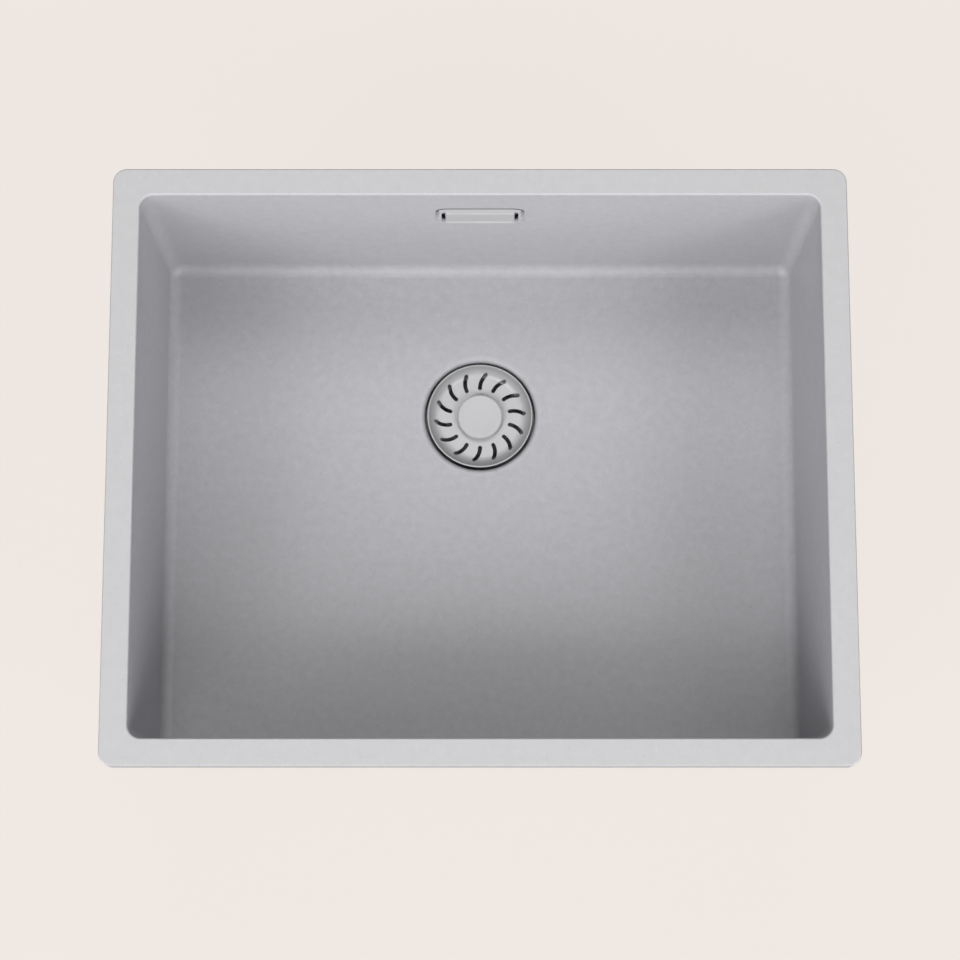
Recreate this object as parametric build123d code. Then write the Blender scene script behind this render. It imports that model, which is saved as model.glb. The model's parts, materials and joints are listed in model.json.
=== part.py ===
from build123d import *
import math
import os

# Composite kitchen sink with its basket strainer waste and its overflow.
# Origin: middle of the rim's top face. +X right, +Y to the back wall, +Z up. Millimetres.

# Bowl, cast in one piece
opening_length = 500.0
opening_width = 400.0
basin_depth = 182.0
rim_land = 20.0
rim_thickness = 12.0
rim_corner_radius = 10.0
rim_inner_fillet = 1.5
rim_outer_fillet = 1.0
under_rim_fillet = 5.0
wall_thickness = 7.0
wall_lean = 4.0
corner_radius = 10.0
floor_thickness = 10.0
floor_slope = 0.6
floor_fillet = 9.0
underside_fillet = 16.0

# Drain hole in the floor and the boss under it
drain_offset = 75.0
drain_radius = 43.5
drain_lip_fillet = 2.5
step_depth = 15.0
throat_radius = 37.0
boss_radius = 62.0
boss_drop = 28.0
boss_fillet = 5.0

# Drain cup, pressed from sheet steel, hung by its flange on a rubber ring in the step
flange_seal_thickness = 2.0
cup_sheet = 1.2
cup_mouth_radius = 33.0
cup_depth = 31.0
seat_drop = 12.0
seat_width = 5.0
cup_bend = 1.5
cup_opening_count = 5
cup_opening_width = 10.0
cup_opening_sweep = 30.0
cup_opening_pitch_radius = 18.0

# Waste body under the boss, moulded
body_seal_thickness = 3.0
body_seal_width = 12.0
waste_flange_radius = 58.0
waste_flange_thickness = 4.0
waste_chamber_radius = 46.0
waste_chamber_depth = 30.0
waste_wall = 3.0
waste_cone_height = 18.0
outlet_radius = 23.9
outlet_bore = 20.0
outlet_length = 26.0
waste_bend = 4.0
waste_edge = 1.0
hub_radius = 8.5
hub_height = 18.0
hub_rib_count = 3
hub_rib_thickness = 3.0
first_rib_angle = 30.0

# Screw that pulls the cup and the waste body together, with its brass insert
screw_radius = 4.0
screw_head_radius = 9.0
screw_head_height = 12.0
screw_reach = 9.5
screw_slot_width = 2.5
screw_slot_depth = 2.0
screw_head_edge = 1.0
screw_tip_chamfer = 0.8
waste_insert_radius = 6.0
waste_insert_length = 12.0

# Strainer: dished plate with swirled slots, knob, stem with stopper, rubber seal, clip
plate_gap = 2.0
plate_sheet = 1.4
plate_drop = 0.2
plate_lip_width = 0.9
plate_wall_run = 6.5
plate_wall_height = 7.0
valley_fall = 1.5
valley_inner_radius = 15.5
plate_boss_radius = 12.5
plate_boss_rise = 2.5
plate_hole_radius = 5.2
plate_bends = [0.9, 7.0, 2.2, 1.2]
plate_edge_share = 0.45
slot_count = 14
slot_width = 3.2
slot_inner_radius = 24.1
slot_outer_radius = 34.8
slot_swirl = 7.8
knob_radius = 17.6
knob_neck_radius = 9.5
knob_gap = 0.8
knob_thickness = 2.8
knob_crown = 0.6
knob_edge = 1.4
knob_spigot_length = 11.0
stem_shoulder_radius = 10.0
stem_shoulder_thickness = 2.5
stem_radius = 7.5
stem_pin_radius = 4.0
stem_pin_chamfer = 0.8
stopper_core_radius = 24.0
stopper_rim_radius = 26.5
stopper_rim_thickness = 1.5
stopper_core_thickness = 3.0
seal_lip = 2.0
clip_wall = 1.4
clip_slit = 1.6
clip_height = 9.0
socket_depth = 10.0

# Overflow in the back wall
overflow_drop = 55.5
recess_length = 67.0
recess_height = 31.0
recess_corner = 9.0
recess_top_depth = 2.5
recess_foot_depth = 0.3
recess_lip_fillet = 0.2
pocket_length = 58.0
pocket_height = 19.0
pocket_corner = 3.0
ledge_thickness = 4.5
slot_height = 10.0
trough_drop = 6.0
trough_outlet_length = 20.0
cover_end_gap = 3.0
cover_thickness = 2.0
cover_setback = 0.5
cover_edge = 0.5
cover_corner = 1.0
cover_peg_radius = 2.0
cover_peg_spacing = 22.0
cover_peg_length = 7.5
bridge_length = 34.0
bridge_thickness = 2.0
overflow_screw_radius = 2.5
overflow_head_radius = 4.5
overflow_head_height = 1.6
overflow_insert_radius = 3.6
overflow_insert_length = 10.0

# Overflow housing on the outside of the back wall, and the pipe down to the waste body
pad_rise = 3.0
pad_margin = 4.0
gasket_thickness = 2.0
chamber_margin = 2.0
chamber_corner = 6.0
chamber_fall = 20.0
housing_wall = 2.5
housing_flange_width = 6.0
housing_flange_thickness = 3.0
housing_edge = 7.0
post_radius = 6.0
pipe_bore = 8.0
pipe_radius = 9.8
pipe_bend = 45.0
thread_radius = 11.5
thread_length = 10.0
collar_radius = 11.0
collar_thickness = 2.0
washer_thickness = 2.0
nut_wall = 3.0
nut_end = 2.0
nut_flute_count = 12
nut_flute_radius = 1.3
nut_clearance = 0.6

# Clearances
seal_clearance = 0.3
shaft_clearance = 0.05
thread_clearance = 0.1
hole_clearance = 0.25
seat_clearance = 0.5
cut_through = 15.0
radius_match = 0.01
level_match = 0.01

# Levels and places worked out from the sizes above
lean_rate = wall_lean / basin_depth
rim_length = opening_length + 2 * rim_land
rim_width = opening_width + 2 * rim_land
back_wall = opening_width / 2
floor_level = -basin_depth
underside_level = floor_level - floor_thickness
step_level = floor_level - step_depth
boss_level = floor_level - boss_drop

cup_flange_level = step_level + flange_seal_thickness + cup_sheet
cup_floor_level = cup_flange_level - cup_depth
cup_waist_radius = cup_mouth_radius - seat_width

waste_top = boss_level - body_seal_thickness
waste_cone_top = waste_top - waste_chamber_depth
waste_cone_foot = waste_cone_top - waste_cone_height
outlet_end = waste_cone_foot - outlet_length
hub_top = waste_cone_foot + hub_height
insert_foot = hub_top - waste_insert_length

screw_head_top = cup_floor_level + screw_head_height
socket_radius = stem_pin_radius + clip_wall + 2 * shaft_clearance
socket_floor = screw_head_top - socket_depth
screw_end = hub_top - screw_reach

plate_radius = drain_radius - plate_gap
plate_lip_level = floor_level - plate_drop - plate_sheet / 2
plate_wall_foot = plate_lip_level - plate_wall_height
valley_level = plate_wall_foot - valley_fall
plate_boss_level = valley_level + plate_boss_rise
knob_seat = plate_boss_level + plate_sheet / 2
stem_top = plate_boss_level - plate_sheet / 2
stopper_top = cup_flange_level - seat_drop + stopper_rim_thickness
seal_top = stopper_top - stopper_rim_thickness
seal_foot = seal_top - stopper_core_thickness
stopper_foot = seal_foot - stopper_rim_thickness
stem_end = socket_floor + seat_clearance

overflow_level = -overflow_drop
overflow_wall = back_wall - lean_rate * overflow_drop
pocket_foot = overflow_level - pocket_height / 2
recess_top = pocket_foot + recess_height
pad_face = back_wall + wall_thickness + pad_rise
ledge_face = pad_face - ledge_thickness
bridge_face = ledge_face - bridge_thickness
cover_face = overflow_wall + cover_setback
cover_back = cover_face + cover_thickness
housing_front = pad_face + gasket_thickness
nut_radius = thread_radius + nut_wall
pipe_axis_y = max(housing_front + thread_radius,
                  back_wall + wall_thickness + nut_radius + nut_clearance)
housing_back = pipe_axis_y + thread_radius
post_front = housing_front + chamber_margin
flange_reach = housing_wall + housing_flange_width
pipe_seat = (overflow_level - chamber_fall - pipe_bore - flange_reach
             - pad_margin - nut_clearance - thread_length)
inlet_level = waste_top - waste_flange_thickness - nut_clearance - thread_radius
inlet_seat = drain_offset + waste_flange_radius + nut_clearance + thread_length


def drum(radius, low, high):
    # Upright cylinder on the drain's axis
    base = (Align.CENTER, Align.CENTER, Align.MIN)
    return Pos(0, drain_offset, low) * Cylinder(radius, high - low, align=base)


def ring(inner, outer, low, high):
    return drum(outer, low, high) - drum(inner, low, high)


def turned(profile, seam_angle=0.0):
    # Profile in radius and height, turned about the drain's axis
    return Pos(0, drain_offset, 0) * Rot(0, 0, seam_angle) * revolve(Plane.XZ * profile, Axis.Z)


def facing_back(y, z=overflow_level):
    # Work plane that looks out through the back wall: local x to the left, local y up
    return Plane(origin=(0, y, z), x_dir=(-1, 0, 0), z_dir=(0, 1, 0))


def rod(radius, front, back, x=0.0):
    # Round bar along Y at the overflow's height
    return extrude(facing_back(front) * Pos(-x, 0) * Circle(radius), back - front)


def repeated(outline, count, start=0.0):
    # Copies of a flat outline, evenly spaced about the origin
    return Sketch() + PolarLocations(0, count, start) * outline


def circles(solid, radius):
    round_edges = solid.edges().filter_by(GeomType.CIRCLE)
    return round_edges.filter_by(lambda e: abs(e.radius - radius) < radius_match)


def flat_face(solid, level):
    # Level face at a height
    flat = solid.faces().filter_by(Plane.XY)
    return flat.filter_by_position(Axis.Z, level - level_match, level + level_match)[0]


def tapered_block(length, width, top, foot, radius):
    # Block with four leaning sides, true to length and width at the rim's top face
    def slab(plane, across):
        high = across / 2 + lean_rate * top
        low = across / 2 + lean_rate * foot
        face = Polygon((-low, foot), (low, foot), (high, top), (-high, top), align=None)
        return extrude(plane * face, length + width, both=True)

    block = slab(Plane.XZ, length) & slab(Plane.YZ, width)
    uprights = block.edges().filter_by(lambda e: abs(e.tangent_at(0.5).Z) > 0.5)
    return fillet(uprights, radius)


def beside_a_wall(edge):
    middle = edge.center()
    margin = 2 * corner_radius
    return abs(middle.X) > opening_length / 2 - margin or abs(middle.Y) > opening_width / 2 - margin


def basin_hollow():
    fall = math.tan(math.radians(floor_slope))
    reach = opening_length + opening_width
    inner = drain_radius / 2
    deep = floor_level - 2 * cut_through
    towards_back = 90
    ground = turned(Polygon(
        (0, deep),
        (0, floor_level - (drain_radius - inner) * fall),
        (inner, floor_level - (drain_radius - inner) * fall),
        (reach, floor_level + (reach - drain_radius) * fall),
        (reach, deep),
        align=None,
    ), seam_angle=towards_back)
    hollow = tapered_block(opening_length, opening_width, cut_through,
                           floor_level - cut_through, corner_radius) - ground
    floor_face = hollow.faces().filter_by(GeomType.CONE).sort_by(SortBy.AREA)[-1]
    return fillet(floor_face.edges().filter_by(beside_a_wall), floor_fillet)


def overflow_outline(grow):
    # Funnel outline of the overflow housing, seen from behind
    length = pocket_length + 2 * (chamber_margin + grow)
    height = pocket_height + 2 * (chamber_margin + grow)
    mouth = RectangleRounded(length, height, chamber_corner + grow)
    throat = Pos(0, -chamber_fall) * Circle(pipe_bore + grow)
    return make_hull(mouth.edges() + throat.edges())


def overflow_recess():
    # Shallow wedge in the wall, deepest at its top edge
    front = overflow_wall - cut_through
    middle = pocket_foot + recess_height / 2
    outline = facing_back(front, middle) * RectangleRounded(recess_length, recess_height, recess_corner)
    block = extrude(outline, cut_through + recess_top_depth)
    wedge = Plane.YZ * Polygon(
        (front, pocket_foot),
        (overflow_wall + recess_foot_depth, pocket_foot),
        (overflow_wall + recess_top_depth, recess_top),
        (front, recess_top),
        align=None,
    )
    return block & extrude(wedge, recess_length, both=True)


def make_bowl():
    rim = extrude(RectangleRounded(rim_length, rim_width, rim_corner_radius), -rim_thickness)
    body = tapered_block(opening_length + 2 * wall_thickness, opening_width + 2 * wall_thickness,
                         0, underside_level, corner_radius + wall_thickness)
    body = fillet(body.faces().sort_by(Axis.Z)[0].edges(), underside_fillet)
    shell = rim + body
    ledge = flat_face(shell, -rim_thickness)
    shell = fillet(ledge.inner_wires()[0].edges(), under_rim_fillet)

    shell += drum(boss_radius, boss_level, floor_level)
    under = flat_face(shell, underside_level)
    shell = fillet(under.inner_wires()[0].edges(), boss_fillet)

    pad_root = back_wall + wall_thickness / 2
    shell += extrude(facing_back(pad_root) * overflow_outline(flange_reach + pad_margin), pad_face - pad_root)

    shell -= basin_hollow()
    top = shell.faces().sort_by(Axis.Z)[-1]
    shell = fillet(top.inner_wires()[0].edges(), rim_inner_fillet)
    top = shell.faces().sort_by(Axis.Z)[-1]
    shell = fillet(top.outer_wire().edges(), rim_outer_fillet)

    shell -= drum(drain_radius, step_level, floor_level + cut_through)
    shell -= drum(throat_radius, boss_level - cut_through, step_level + cut_through)
    shell = fillet(circles(shell, drain_radius).sort_by(Axis.Z)[-1], drain_lip_fillet)

    shell -= overflow_recess()
    facing_front = shell.faces().filter_by(GeomType.PLANE).filter_by(lambda f: f.normal_at().Y < -0.9)
    wall_face = facing_front.filter_by(lambda f: f.center().Y > 0).sort_by(SortBy.AREA)[-1]
    shell = fillet(wall_face.inner_wires()[0].edges(), recess_lip_fillet)
    front = overflow_wall - cut_through
    pocket = facing_back(front) * RectangleRounded(pocket_length, pocket_height, pocket_corner)
    shell -= extrude(pocket, ledge_face - front)
    trough = RectangleRounded(pocket_length, 2 * trough_drop, pocket_corner)
    shell -= extrude(facing_back(cover_back, pocket_foot) * trough, ledge_face - cover_back)
    outlet_height = pocket_height / 2 + trough_drop
    outlet = RectangleRounded(trough_outlet_length, outlet_height, pocket_corner)
    passage = SlotOverall(pocket_length, slot_height) + Pos(0, -outlet_height / 2) * outlet
    return shell - extrude(facing_back(cover_back) * passage, pad_face - cover_back + cut_through)


def make_flange_seal():
    return ring(throat_radius + seat_clearance, drain_radius - seat_clearance,
                step_level, step_level + flange_seal_thickness)


def make_drain_cup():
    half = cup_sheet / 2
    path = FilletPolyline(
        (drain_radius - seat_clearance, cup_flange_level - half),
        (cup_mouth_radius + half, cup_flange_level - half),
        (cup_mouth_radius + half, cup_flange_level - seat_drop),
        (cup_waist_radius + half, cup_flange_level - seat_drop - seat_width),
        (cup_waist_radius + half, cup_floor_level - half),
        (screw_radius + hole_clearance, cup_floor_level - half),
        radius=cup_bend,
    )
    cup = turned(trace(path, cup_sheet))
    sweep_start = 90 - cup_opening_sweep / 2
    line = CenterArc((0, 0), cup_opening_pitch_radius, sweep_start, cup_opening_sweep)
    windows = repeated(SlotArc(line, cup_opening_width), cup_opening_count)
    return cup - extrude(Pos(0, drain_offset, cup_floor_level - 2 * cup_sheet) * windows, 3 * cup_sheet)


def make_body_seal():
    return ring(waste_flange_radius - body_seal_width, waste_flange_radius, waste_top, boss_level)


def make_waste_body():
    outer_radius = waste_chamber_radius + waste_wall
    flange_foot = waste_top - waste_flange_thickness
    sharp = 0
    outline = FilletPolyline(
        (waste_chamber_radius, waste_top),
        (waste_flange_radius, waste_top),
        (waste_flange_radius, flange_foot),
        (outer_radius, flange_foot),
        (outer_radius, waste_cone_top),
        (outlet_radius, waste_cone_foot),
        (outlet_radius, outlet_end),
        (outlet_bore, outlet_end),
        (outlet_bore, waste_cone_foot),
        (waste_chamber_radius, waste_cone_top),
        radius=[sharp, sharp, waste_edge, waste_edge, waste_bend, waste_bend,
                waste_edge, sharp, waste_bend, waste_bend],
        close=True,
    )
    body = turned(make_face(outline))

    overlap = waste_wall / 2
    inside = turned(Polygon(
        (0, waste_cone_foot),
        (outlet_bore + overlap, waste_cone_foot),
        (waste_chamber_radius + overlap, waste_cone_top),
        (waste_chamber_radius + overlap, hub_top),
        (0, hub_top),
        align=None,
    ))
    rib = Pos(waste_chamber_radius / 2, 0) * Rectangle(waste_chamber_radius + waste_wall, hub_rib_thickness)
    ribs = repeated(rib, hub_rib_count, first_rib_angle)
    body += extrude(Pos(0, drain_offset, waste_cone_foot) * ribs, hub_height) & inside
    body += drum(hub_radius, waste_cone_foot, hub_top)
    body -= drum(waste_insert_radius + shaft_clearance, insert_foot, hub_top)

    root = drain_offset + waste_chamber_radius
    inlet = Plane(origin=(0, root, inlet_level), x_dir=(1, 0, 0), z_dir=(0, 1, 0))
    body += extrude(inlet * Circle(thread_radius), inlet_seat - root)
    body -= extrude(inlet * Pos(0, 0, -waste_wall) * Circle(pipe_bore), inlet_seat - root + 2 * waste_wall)
    return body


def make_waste_insert():
    return ring(screw_radius + shaft_clearance, waste_insert_radius, insert_foot, hub_top)


def make_fixing_screw():
    head = drum(screw_head_radius, cup_floor_level, screw_head_top)
    head = fillet(head.edges().sort_by(Axis.Z)[-1], screw_head_edge)
    head -= drum(socket_radius, socket_floor, screw_head_top)
    slot = Box(3 * screw_head_radius, screw_slot_width, 2 * screw_slot_depth)
    head -= Pos(0, drain_offset, screw_head_top) * slot
    shank = drum(screw_radius, screw_end, cup_floor_level)
    shank = chamfer(shank.edges().sort_by(Axis.Z)[0], screw_tip_chamfer)
    return head + shank


def make_stem_clip():
    inner = stem_pin_radius + shaft_clearance
    low = socket_floor + seal_clearance
    sleeve = ring(inner, socket_radius - shaft_clearance, low, low + clip_height - seal_clearance)
    slit = Box(clip_slit, 2 * socket_radius, 3 * clip_height)
    return sleeve - Pos(0, drain_offset + socket_radius, socket_floor) * slit


def make_strainer_plate():
    path = FilletPolyline(
        (plate_radius, plate_lip_level),
        (plate_radius - plate_lip_width, plate_lip_level),
        (plate_radius - plate_lip_width - plate_wall_run, plate_wall_foot),
        (valley_inner_radius, valley_level),
        (plate_boss_radius, plate_boss_level),
        (plate_hole_radius, plate_boss_level),
        radius=plate_bends,
    )
    plate = turned(trace(path, plate_sheet))
    plate = fillet(circles(plate, plate_radius), plate_sheet * plate_edge_share)

    swirl = math.radians(90 - slot_swirl)
    inner_end = (0, slot_inner_radius)
    outer_end = (slot_outer_radius * math.cos(swirl), slot_outer_radius * math.sin(swirl))
    slot = SlotArc(TangentArc(inner_end, outer_end, tangent=(0, 1)), slot_width)
    slots = repeated(slot, slot_count)
    below = valley_level - 2 * plate_sheet
    return plate - extrude(Pos(0, drain_offset, below) * slots, floor_level - below)


def make_strainer_knob():
    cap_foot = knob_seat + knob_gap
    cap_top = cap_foot + knob_thickness
    spigot = plate_hole_radius - hole_clearance
    side = Line((knob_radius, cap_foot), (knob_radius, cap_top))
    crown = TangentArc((0, cap_top + knob_crown), (knob_radius, cap_top), tangent=(1, 0))
    rest = Polyline(
        (0, cap_top + knob_crown),
        (0, knob_seat - knob_spigot_length),
        (spigot, knob_seat - knob_spigot_length),
        (spigot, knob_seat),
        (knob_neck_radius, knob_seat),
        (knob_neck_radius, cap_foot),
        (knob_radius, cap_foot),
    )
    knob = turned(make_face(side.edges() + crown.edges() + rest.edges()))
    return fillet(circles(knob, knob_radius).sort_by(Axis.Z)[-1], knob_edge)


def make_strainer_stem():
    spigot_hole = plate_hole_radius - hole_clearance + shaft_clearance
    hole_floor = knob_seat - knob_spigot_length - seat_clearance
    outline = Polyline(
        (0, hole_floor),
        (spigot_hole, hole_floor),
        (spigot_hole, stem_top),
        (stem_shoulder_radius, stem_top),
        (stem_shoulder_radius, stem_top - stem_shoulder_thickness),
        (stem_radius, stem_top - stem_shoulder_thickness),
        (stem_radius, stopper_top),
        (stopper_rim_radius, stopper_top),
        (stopper_rim_radius, seal_top),
        (stopper_core_radius, seal_top),
        (stopper_core_radius, seal_foot),
        (stopper_rim_radius, seal_foot),
        (stopper_rim_radius, stopper_foot),
        (stem_pin_radius, stopper_foot),
        (stem_pin_radius, stem_end),
        (0, stem_end),
        close=True,
    )
    stem = turned(make_face(outline))
    return chamfer(stem.edges().sort_by(Axis.Z)[0], stem_pin_chamfer)


def make_strainer_seal():
    # The lip follows the cup's cone, parallel to it
    half = cup_sheet / 2
    bend = math.sqrt(2)
    cone_offset = cup_mouth_radius + half - half * bend - seal_clearance * bend

    def lip_radius(level):
        return cone_offset - (cup_flange_level - seat_drop - level)

    lip_foot = seal_foot - stopper_rim_thickness / 2
    lip_top = lip_foot + seal_lip
    inner = stopper_core_radius + shaft_clearance
    skirt = stopper_rim_radius + seat_clearance
    outline = Polyline(
        (inner, seal_foot),
        (skirt, seal_foot),
        (skirt, lip_foot),
        (lip_radius(lip_foot), lip_foot),
        (lip_radius(lip_top), lip_top),
        (skirt, seal_top),
        (inner, seal_top),
        close=True,
    )
    return turned(make_face(outline))


def make_overflow_cover():
    length = pocket_length - 2 * cover_end_gap
    foot = pocket_foot + seal_clearance
    top = pocket_foot + pocket_height - seal_clearance
    face = facing_back(cover_face, (foot + top) / 2) * RectangleRounded(length, top - foot, cover_corner)
    plate = extrude(face, cover_thickness)
    plate = fillet(plate.faces().sort_by(Axis.Y)[0].edges(), cover_edge)
    for side in (-1, 1):
        peg = rod(cover_peg_radius, cover_back, cover_back + cover_peg_length, side * cover_peg_spacing / 2)
        plate += chamfer(peg.edges().sort_by(Axis.Y)[-1], cover_edge)
    return plate


def make_overflow_bridge():
    height = pocket_height - 2 * seal_clearance
    face = facing_back(bridge_face) * RectangleRounded(bridge_length, height, pocket_corner)
    bridge = extrude(face, bridge_thickness)
    bridge -= rod(overflow_screw_radius + hole_clearance, bridge_face, ledge_face)
    for side in (-1, 1):
        hole = cover_peg_radius + shaft_clearance
        bridge -= rod(hole, bridge_face, ledge_face, side * cover_peg_spacing / 2)
    return bridge


def make_overflow_screw():
    head = rod(overflow_head_radius, bridge_face - overflow_head_height, bridge_face)
    head = fillet(head.edges().sort_by(Axis.Y)[0], overflow_head_height / 2)
    shank = rod(overflow_screw_radius, bridge_face, post_front + overflow_insert_length - seat_clearance)
    return head + shank


def make_overflow_insert():
    back = post_front + overflow_insert_length
    sleeve = rod(overflow_insert_radius, post_front, back)
    return sleeve - rod(overflow_screw_radius + shaft_clearance, post_front, back)


def make_overflow_gasket():
    band = overflow_outline(flange_reach) - overflow_outline(0)
    return extrude(facing_back(pad_face) * band, gasket_thickness)


def make_overflow_housing():
    front = facing_back(housing_front)
    shell = extrude(front * overflow_outline(housing_wall), housing_back - housing_front)
    shell = fillet(shell.faces().sort_by(Axis.Y)[-1].edges(), housing_edge)
    shell += extrude(front * overflow_outline(flange_reach), housing_flange_thickness)

    spigot_root = overflow_level - chamber_fall
    spigot = Plane(origin=(0, pipe_axis_y, spigot_root), x_dir=(1, 0, 0), z_dir=(0, 0, -1))
    shell += extrude(spigot * Circle(thread_radius), spigot_root - pipe_seat)

    depth = housing_back - housing_wall - housing_front
    inside = extrude(front * overflow_outline(0), depth)
    shell -= fillet(inside.faces().sort_by(Axis.Y)[-1].edges(), housing_edge - housing_wall)
    shell -= extrude(spigot * Circle(pipe_bore), spigot_root - pipe_seat)

    shell += rod(post_radius, post_front, housing_back - housing_wall / 2)
    insert_back = post_front + overflow_insert_length
    return shell - rod(overflow_insert_radius + shaft_clearance, post_front, insert_back)


def pipe_end(at_housing):
    # Work plane on a spigot's end, looking along the pipe
    if at_housing:
        return Plane(origin=(0, pipe_axis_y, pipe_seat), x_dir=(1, 0, 0), z_dir=(0, 0, -1))
    return Plane(origin=(0, inlet_seat, inlet_level), x_dir=(1, 0, 0), z_dir=(0, 1, 0))


def make_pipe_washer(at_housing):
    return extrude(pipe_end(at_housing) * (Circle(collar_radius) - Circle(pipe_bore)), washer_thickness)


def make_pipe_nut(at_housing):
    stack = washer_thickness + collar_thickness
    outline = Circle(nut_radius)
    outline -= PolarLocations(nut_radius + nut_flute_radius / 2, nut_flute_count) * Circle(nut_flute_radius)
    nut = extrude(Pos(0, 0, -thread_length) * outline, thread_length + stack + nut_end)
    thread_hole = Circle(thread_radius + thread_clearance)
    nut -= extrude(Pos(0, 0, -thread_length) * thread_hole, thread_length + stack)
    nut -= extrude(Circle(pipe_radius + hole_clearance), stack + 2 * nut_end)
    return pipe_end(at_housing) * nut


def make_overflow_pipe():
    top = (0, pipe_axis_y, pipe_seat - washer_thickness)
    corner = (0, pipe_axis_y, inlet_level)
    end = (0, inlet_seat + washer_thickness, inlet_level)
    path = FilletPolyline(top, corner, end, radius=pipe_bend)
    start = Plane(origin=top, x_dir=(1, 0, 0), z_dir=(0, 0, -1))
    pipe = sweep(start * Circle(pipe_radius), path)
    for at_housing in (True, False):
        collar = Pos(0, 0, washer_thickness) * Circle(collar_radius)
        pipe += pipe_end(at_housing) * extrude(collar, collar_thickness)
    return pipe - sweep(start * Circle(pipe_bore), path)


pieces = {
    "bowl": make_bowl(),
    "flange_seal": make_flange_seal(),
    "drain_cup": make_drain_cup(),
    "body_seal": make_body_seal(),
    "waste_body": make_waste_body(),
    "waste_insert": make_waste_insert(),
    "fixing_screw": make_fixing_screw(),
    "stem_clip": make_stem_clip(),
    "strainer_plate": make_strainer_plate(),
    "strainer_knob": make_strainer_knob(),
    "strainer_stem": make_strainer_stem(),
    "strainer_seal": make_strainer_seal(),
    "overflow_cover": make_overflow_cover(),
    "overflow_bridge": make_overflow_bridge(),
    "overflow_screw": make_overflow_screw(),
    "overflow_insert": make_overflow_insert(),
    "overflow_gasket": make_overflow_gasket(),
    "overflow_housing": make_overflow_housing(),
    "housing_washer": make_pipe_washer(True),
    "housing_nut": make_pipe_nut(True),
    "overflow_pipe": make_overflow_pipe(),
    "inlet_washer": make_pipe_washer(False),
    "inlet_nut": make_pipe_nut(False),
}

os.makedirs("parts", exist_ok=True)
for name, piece in pieces.items():
    export_step(piece, f"parts/{name}.step")
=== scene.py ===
import bmesh
import bpy
import json
import math
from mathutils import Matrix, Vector


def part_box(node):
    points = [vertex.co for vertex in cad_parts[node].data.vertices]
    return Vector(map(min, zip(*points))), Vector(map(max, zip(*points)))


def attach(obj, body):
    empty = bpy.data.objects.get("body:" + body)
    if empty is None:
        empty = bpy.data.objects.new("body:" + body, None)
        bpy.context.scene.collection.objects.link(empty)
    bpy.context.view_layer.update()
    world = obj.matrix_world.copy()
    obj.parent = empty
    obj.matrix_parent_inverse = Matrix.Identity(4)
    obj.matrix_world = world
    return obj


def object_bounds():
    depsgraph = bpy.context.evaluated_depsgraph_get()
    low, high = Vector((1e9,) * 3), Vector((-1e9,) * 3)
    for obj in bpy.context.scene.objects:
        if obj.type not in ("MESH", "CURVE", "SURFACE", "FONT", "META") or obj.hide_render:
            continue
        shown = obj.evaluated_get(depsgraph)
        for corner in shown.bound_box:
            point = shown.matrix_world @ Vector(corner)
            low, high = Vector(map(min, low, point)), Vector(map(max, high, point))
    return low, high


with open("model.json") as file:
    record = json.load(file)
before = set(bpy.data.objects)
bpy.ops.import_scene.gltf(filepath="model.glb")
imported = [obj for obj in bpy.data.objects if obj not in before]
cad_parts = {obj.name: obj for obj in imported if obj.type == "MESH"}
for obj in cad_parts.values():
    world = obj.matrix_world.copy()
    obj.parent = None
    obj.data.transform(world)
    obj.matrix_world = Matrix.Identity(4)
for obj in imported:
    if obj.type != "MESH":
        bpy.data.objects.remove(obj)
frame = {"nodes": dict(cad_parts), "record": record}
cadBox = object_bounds()
nodes = frame["nodes"]
scene = bpy.context.scene
scene.view_settings.view_transform = "Standard"
print("frame loaded:", len(nodes), "parts")

# Camera at the angle of the picture: square to the front, steeply from above
cameraView = {
    "lensMm": 106.72,
    "elevation": 78.477,
    "distance": 2.0498,
    "aimY": -0.01393,  # point of the rim plane in the middle of the picture
}


def makeCamera(view):
    data = bpy.data.cameras.new("sinkCamera")
    data.lens = view["lensMm"]
    camera = bpy.data.objects.new("sinkCamera", data)
    rise = math.radians(view["elevation"])
    aim = Vector((0, view["aimY"], 0))
    camera.location = aim + view["distance"] * Vector((0, -math.cos(rise), math.sin(rise)))
    camera.rotation_euler = (math.pi / 2 - rise, 0, 0)
    scene.collection.objects.link(camera)
    scene.camera = camera


makeCamera(cameraView)
print("camera placed")

# Node helpers
noiseMiddle = 0.5
noiseLow = 0.3  # most of a noise lies between these two
noiseHigh = 0.7
mixPlaces = {"share": 0, "first": 6, "second": 7, "result": 2}  # a Mix node's colour sockets


def addNode(tree, kind, settings=None, values=None):
    made = tree.nodes.new(kind)
    for name, value in (settings or {}).items():
        setattr(made, name, value)
    for socket, value in (values or {}).items():
        made.inputs[socket].default_value = value
    return made


def mathNode(tree, operation, first, second=None):
    made = addNode(tree, "ShaderNodeMath", {"operation": operation})
    for place, source in enumerate((first, second)):
        if source is None:
            continue
        if isinstance(source, (int, float)):
            made.inputs[place].default_value = source
        else:
            tree.links.new(source, made.inputs[place])
    return made.outputs[0]


def mixColour(tree, share, first, second):
    made = addNode(tree, "ShaderNodeMix", {"data_type": "RGBA"})
    for place, source in (("share", share), ("first", first), ("second", second)):
        tree.links.new(source, made.inputs[mixPlaces[place]])
    return made.outputs[mixPlaces["result"]]


def mapRange(tree, source, low, high, toLow, toHigh):
    made = addNode(tree, "ShaderNodeMapRange")
    tree.links.new(source, made.inputs["Value"])
    for socket, value in (("From Min", low), ("From Max", high), ("To Min", toLow), ("To Max", toHigh)):
        if isinstance(value, (int, float)):
            made.inputs[socket].default_value = value
        else:
            tree.links.new(value, made.inputs[socket])
    return made.outputs["Result"]


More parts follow.
